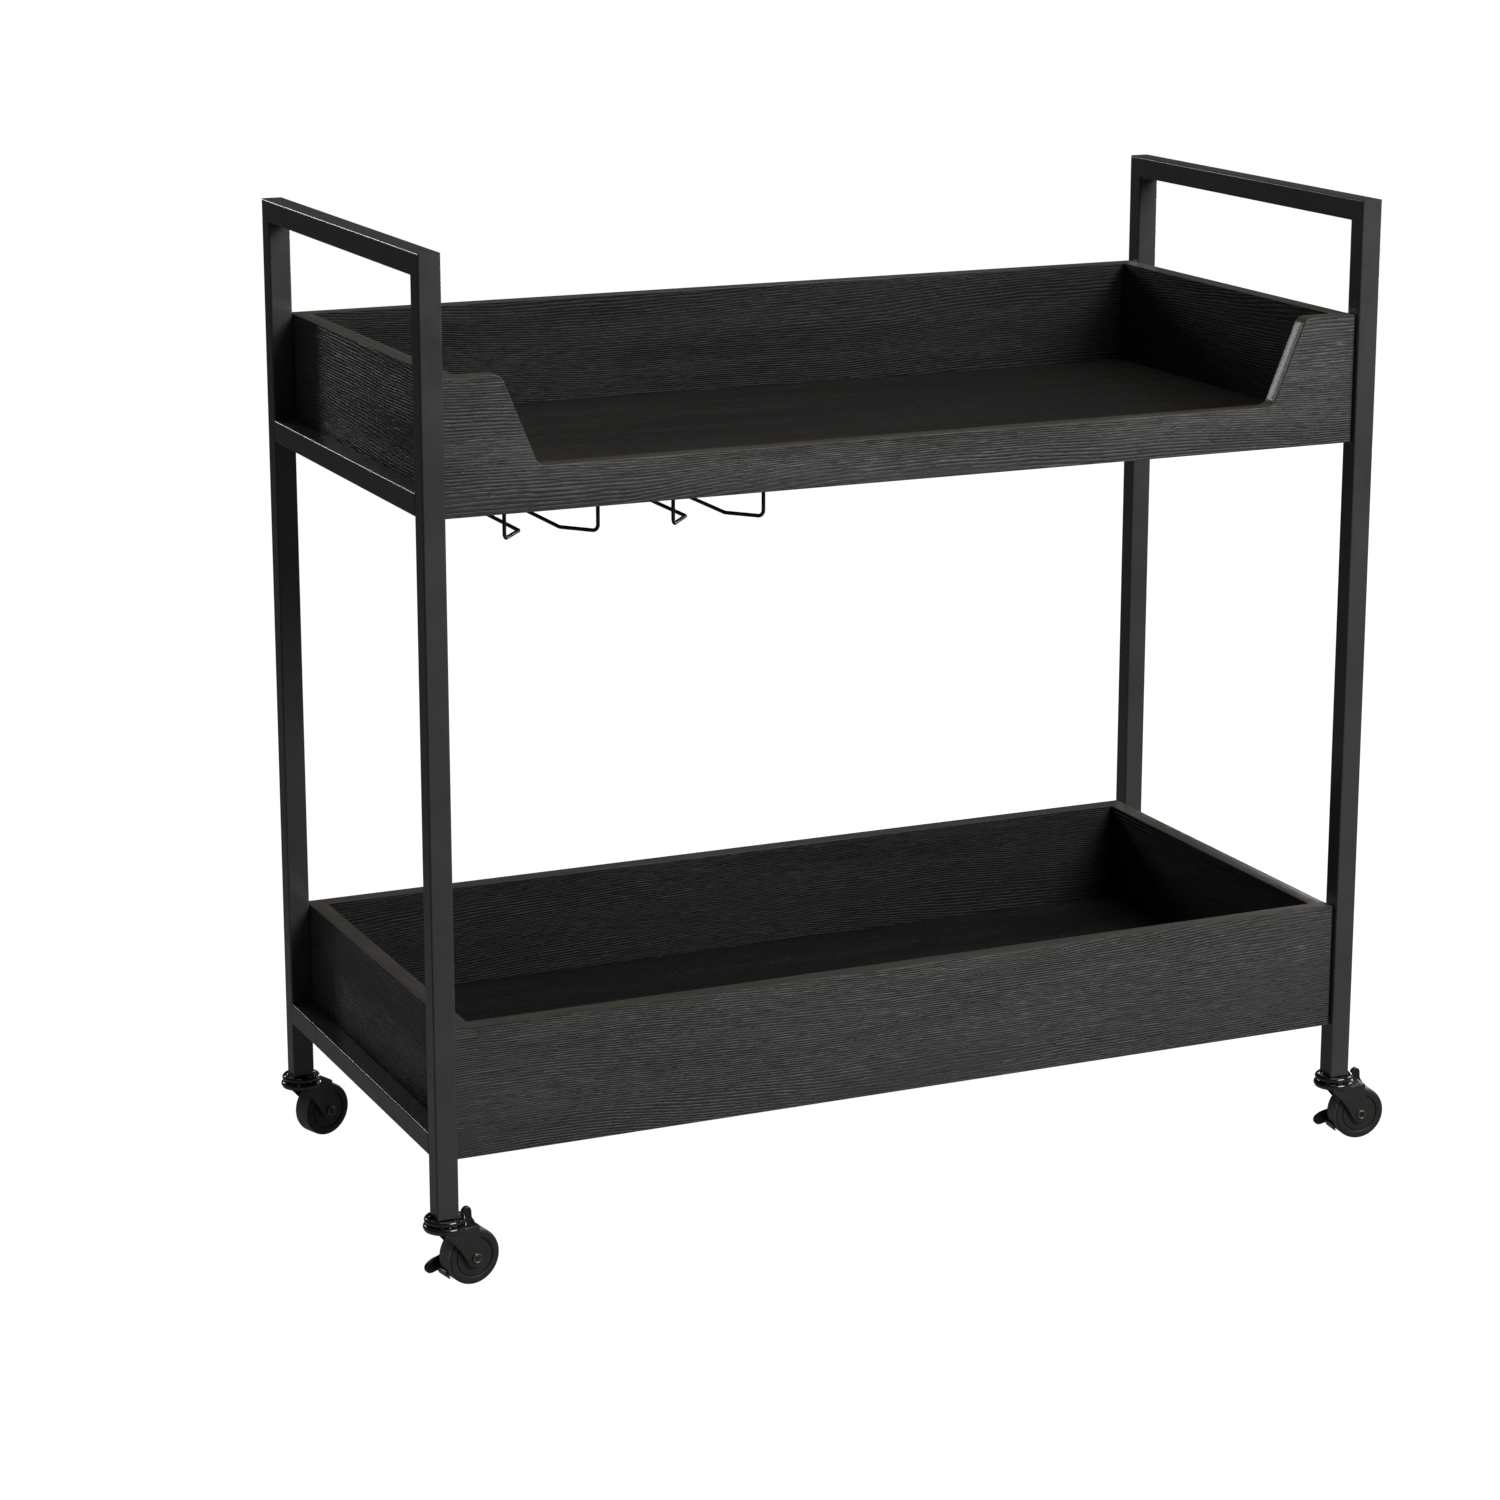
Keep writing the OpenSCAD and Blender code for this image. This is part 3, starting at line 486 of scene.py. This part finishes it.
for c, (sx, sy) in CORNERS.items():
    pos = Vector(joint[f"{c}_caster_turn"]["pos_m"])
    axle = Vector(joint[f"{c}_wheel_spin"]["pos_m"])
    swivel = math.atan2(axle.y - pos.y, axle.x - pos.x)
    M = Matrix.Translation(Vector((pos.x, pos.y, 0))) @ Matrix.Rotation(swivel, 4, "Z")
    W = lambda x, y, z: M @ Vector((x * mm, y * mm, z * mm))
    braked = sy < 0

    # fork: two flared cheeks, a round crown, rounded bends and the lower raceway
    arc = [(TRAIL + 8 * math.cos(math.radians(t)), AXLE_Z + 8 * math.sin(math.radians(t)), 0) for t in range(210, 372, 9)]
    cheek = rounded_outline([(-8, CROWN + 0.5, 0), (-8, CROWN - 1.5, 1.0), (2, 39.6, 12), (8.8, 31.2, 16)] + arc
                            + [(TRAIL + 5, 38, 20), (NOSE, 48, 6), (NOSE, CROWN + 0.5, 0)], n=5)
    b = Build()
    for s_ in (-1, 1):
        y0, y1 = (PLATE_IN, PLATE_OUT) if s_ > 0 else (-PLATE_OUT, -PLATE_IN)
        slab(b, cheek, y0, y1, 0.4, lambda q, t: (q[0], t, q[1]))
    me = bpy.data.meshes.new("t")
    me.from_pydata([tuple(v) for v in b.v], [], b.f)
    bm = bmesh.new()
    bm.from_mesh(me)
    for x in (15.5, 12.0, 8.0, 4.0, 0.0, -4.0):
        bmesh.ops.bisect_plane(bm, geom=bm.verts[:] + bm.edges[:] + bm.faces[:], plane_co=(x, 0, 0), plane_no=(1, 0, 0))
    for z in (30.0, 34.0, 38.0, 42.0, 46.0):
        bmesh.ops.bisect_plane(bm, geom=bm.verts[:] + bm.edges[:] + bm.faces[:], plane_co=(0, 0, z), plane_no=(0, 0, 1))
    for v in bm.verts:
        if v.co.x < 15.5:
            v.co.y += math.copysign((15.5 - v.co.x) * 0.17 * smooth(v.co.z, 22, 46), v.co.y)
    bm.verts.ensure_lookup_table()
    bm.verts.index_update()
    b = Build()
    b.add([v.co.copy() for v in bm.verts], [tuple(v.index for v in f.verts) for f in bm.faces], 0)
    bm.free()
    bpy.data.meshes.remove(me)
    half = math.degrees(math.asin(11.1 / 17))
    crown = [(17 * math.cos(math.radians(t)), 17 * math.sin(math.radians(t)), 0) for t in [half + (360 - 2 * half) * k / 56 for k in range(57)]]
    crown = rounded_outline(crown + [(NOSE, -11.1, 0), (NOSE, 11.1, 0)])
    slab(b, crown, CROWN, CROWN + 1.7, 0.35, lambda q, t: (q[0], q[1], t))
    for s_ in (-1, 1):
        lathe(b, [(0, 9.0), (1.1, 9.0), (1.3, 9.2), (1.3, NOSE - 0.4), (1.1, NOSE), (0, NOSE)], lambda x, y, h: (h, s_ * 11.1 + x, CROWN + 0.4 + y), n=20)
    lathe(b, [(15.5 + 2.5 * math.cos(t * math.pi / 12), 53.6 + 2.5 * math.sin(t * math.pi / 12)) for t in range(24)], lambda x, y, h: (x, y, h), n=72, closed=True, mats=[1] * 24)
    b.v = [W(*p) for p in b.v]
    o = piece(f"{c}_fork_pressing", b.v, b.f, [FORK, GLOSS], b.m, f"{c}_swivel", angle=28)
    back_ = M.inverted()
    for e in o.data.edges:
        ends = [back_ @ o.data.vertices[i].co for i in e.vertices]
        if all(abs(q.x - 15.5 * mm) < 1e-5 and 24 * mm < q.z < CROWN * mm for q in ends):
            e.use_edge_sharp = True
    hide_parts(f"{c}_fork")

    # rivet: a rolled rim round a shallow dish painted near-black as the bore's shade, at both ends
    b = Build()
    for s_, y in ((-1, 13.6), (1, LEVER_Y + LEVER_T + 1.35 if braked else 13.6)):
        put = lambda x, z, h: W(TRAIL + x, s_ * (y + h), AXLE_Z + z)
        lathe(b, [(3.5 + 0.68 * math.cos(t * math.pi / 8), 0.0 + 0.62 * math.sin(t * math.pi / 8)) for t in range(16)], put, n=40, closed=True, mats=[0] * 16)
        # the bore: a shallow dish carrying the painted shade
        lathe(b, [(0, -0.2), (1.3, -0.12), (2.2, 0.02), (2.95, 0.2)], put, n=40, mats=[1] * 3)
    piece(f"{c}_rivet_rims", b.v, b.f, [RIVET, RIVET_BORE_SHADE], b.m, f"{c}_swivel", angle=60)

    # wheel: a dished hub, and a tyre with a flat side, round shoulders and a flat tread
    hw = TYRE_W / 2
    hub = [(3.08, 10.3), (5.4, 10.3), (6.0, 10.05), (6.2, 9.2), (7.4, 8.75), (11.0, 8.8), (15.2, 9.05), (15.9, 8.95), (16.15, 8.2)]
    prof = hub + [(r, -y) for r, y in reversed(hub)]
    b = Build()
    lathe(b, prof, lambda x, z, h: W(TRAIL + x, -h, AXLE_Z + z), n=96, closed=True)
    o = piece(f"{c}_hub_moulding", b.v, b.f, [WHEEL], b.m, f"{c}_wheel", angle=32)
    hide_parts(f"{c}_wheel_hub")
    side = [(16.24, 8.15), (16.75, 8.15), (17.0, 9.15), (17.5, 9.45), (19.0, hw), (20.9, hw)]
    arc_ = [(21 + 3 * math.sin(math.radians(t)), hw - 3 + 3 * math.cos(math.radians(t))) for t in range(8, 91, 9)]
    half_p = side + arc_ + [(24.0, 4.0), (24.0, 1.5)]
    prof = half_p + [(r, -y) for r, y in reversed(half_p)]
    tread_from = len(side) + 5
    mats_ = [1 if tread_from <= i < len(prof) - tread_from - 1 else 0 for i in range(len(prof))]
    b = Build()
    lathe(b, prof, lambda x, z, h: W(TRAIL + x, -h, AXLE_Z + z), n=96, closed=True, mats=mats_)
    o = piece(f"{c}_tyre_moulding", b.v, b.f, [WHEEL, TREAD], b.m, f"{c}_wheel", angle=32)
    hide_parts(f"{c}_tyre")

    if braked:
        # brake lever: a moulded plate with thicker, rounded tips
        n = 200
        rad = [lever_radius(2 * math.pi * i / n) for i in range(n)]
        for _ in range(2):
            rad = [(rad[i - 1] + 2 * rad[i] + rad[(i + 1) % n]) / 4 for i in range(n)]
        cols = [("hole", 3.1), ("abs", 5.0)] + [("k", t) for t in (0.45, 0.62, 0.76, 0.87, 0.94)]
        bev = [(0.25, 0.85), (0.10, 0.42), (0.0, 0.0)]
        verts, faces = [], []
        prof_n = 0

        def ringpts(mode, val):
            return [val if mode != "k" else max(5.0 + 2.5 * val, r * val) for r in rad]
        rings = []
        for top in (1, 0):
            seq = [(ringpts(m_, v_), 0.0) for m_, v_ in cols]
            seq += [([r - d for r in rad], drop) for drop, d in ((0.12, 0.9), (0.38, 0.38), (0.9, 0.0))]
            rings += [(rr, drop, top) for rr, drop in (seq if top else reversed(seq))]
        for rr, drop, top in rings:
            for i in range(n):
                t = 2 * math.pi * i / n
                bulge = 2.0 * smooth(rr[i], 20.5, 25.5)
                y = (LEVER_Y + LEVER_T + bulge - drop) if top else (LEVER_Y + 0.5 * drop)
                verts.append(W(TRAIL + rr[i] * math.cos(t), y, AXLE_Z + rr[i] * math.sin(t)))
        R_ = len(rings)
        for r_ in range(R_):
            for i in range(n):
                j, q = (i + 1) % n, (r_ + 1) % R_
                faces.append((r_ * n + i, r_ * n + j, q * n + j, q * n + i))
        o = piece(f"{c}_lever_moulding", verts, faces, [LEVER], [0] * len(faces), f"{c}_brake", angle=50)
        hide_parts(f"{c}_brake_lever")


def paint_node(node, mat):
    o = frame["nodes"][node]
    for s_ in o.material_slots:
        s_.material = mat


for node, o in frame["nodes"].items():
    if node.endswith("_bottom_panel"):
        paint_node(node, FLOOR[node.split("_")[0]])
    elif node.endswith("_panel"):
        paint_node(node, BACKER)
    elif node.endswith(("_leg", "_bar", "_rail", "_tabs", "_strip")):
        paint_node(node, PAINT)
    elif node.startswith("glass_rail"):
        paint_node(node, WIRE)
    elif node in ("caster_nuts", "caster_top_cups"):
        paint_node(node, GLOSS)
    elif node.endswith(("_fork", "_shoe")):
        paint_node(node, FORK)
    elif node.endswith("_hub"):
        paint_node(node, WHEEL)
    elif node.endswith("_tyre"):
        paint_node(node, TREAD)
    elif node.endswith("_axle"):
        paint_node(node, RIVET)
    elif node.endswith("_lever"):
        paint_node(node, LEVER)
    elif node == "dowels":
        paint_node(node, BEECH)
    elif node == "leg_inserts":
        paint_node(node, PLUG)
    else:
        paint_node(node, STEEL)

# ---------------------------------------------------------------- floor and light


def stage_plane():
    me = bpy.data.meshes.new("floor")
    bm = bmesh.new()
    s = 14.0
    for p in ((-s, -s), (s, -s), (s, s), (-s, s)):
        bm.verts.new((p[0], p[1], 0.0))
    bm.faces.new(bm.verts)
    bm.to_mesh(me)
    bm.free()
    o = bpy.data.objects.new("floor", me)
    scene.collection.objects.link(o)
    N = Nodes("floor")
    N.out(Base_Color=(0.12, 0.12, 0.12, 1), Roughness=0.9, Specular_IOR_Level=0.05)
    # the studio's light table: even white to look at, bright under the object and dimmer away from it as a light
    path = N.n("ShaderNodeLightPath").outputs["Is Camera Ray"]
    geo = N.n("ShaderNodeNewGeometry").outputs["Position"]
    far = N.n("ShaderNodeVectorMath")
    far.operation = "LENGTH"
    N.put(far, "i0", geo)
    glow = N.map(far.outputs["Value"], 0.55, 1.5, FLOOR_GLOW, 0.03)
    N.out(Emission_Color=(1, 1, 1, 1))
    N.put(N.bsdf, "Emission Strength", N.math("ADD", N.math("MULTIPLY", path, 1.0), N.math("MULTIPLY", N.math("SUBTRACT", 1.0, path), glow)))
    me.materials.append(N.mat)


FLOOR_GLOW = 0.13
stage_plane()

world = bpy.data.worlds.new("world")
scene.world = world
world.use_nodes = True
wt = world.node_tree
back = wt.nodes["Background"]
back.inputs[0].default_value = (1, 1, 1, 1)
seen = wt.nodes.new("ShaderNodeLightPath")
level = wt.nodes.new("ShaderNodeMapRange")
wt.links.new(seen.outputs["Is Camera Ray"], level.inputs[0])
level.inputs[3].default_value = 0.06
level.inputs[4].default_value = 1.0
wt.links.new(level.outputs[0], back.inputs[1])
scene.view_settings.view_transform = "Standard"
scene.view_settings.look = "None"


def area(name, loc, target, size, watts, color=(1, 1, 1)):
    d = bpy.data.lights.new(name, "AREA")
    d.shape = "RECTANGLE"
    d.size, d.size_y = size
    d.energy = watts
    d.color = color
    o = bpy.data.objects.new(name, d)
    scene.collection.objects.link(o)
    o.location = P(*loc)
    o.rotation_mode = "QUATERNION"
    o.rotation_quaternion = (P(*target) - P(*loc)).to_track_quat("-Z", "Y")
    return o


area("key", (1300, -2600, 2250), (0, 0, 450), (1.9, 1.4), 112)
area("back_left", (-1180, 3000, 1620), (-400, 0, 500), (0.30, 0.85), 9.5)
area("top", (100, 100, 3400), (0, 0, 400), (2.0, 1.6), 22, (1.0, 0.94, 0.84))
area("right", (3000, 300, 1500), (300, 0, 400), (1.4, 1.2), 20)
area("back_right", (2900, 2500, 420), (0, 0, 420), (1.2, 0.5), 20)
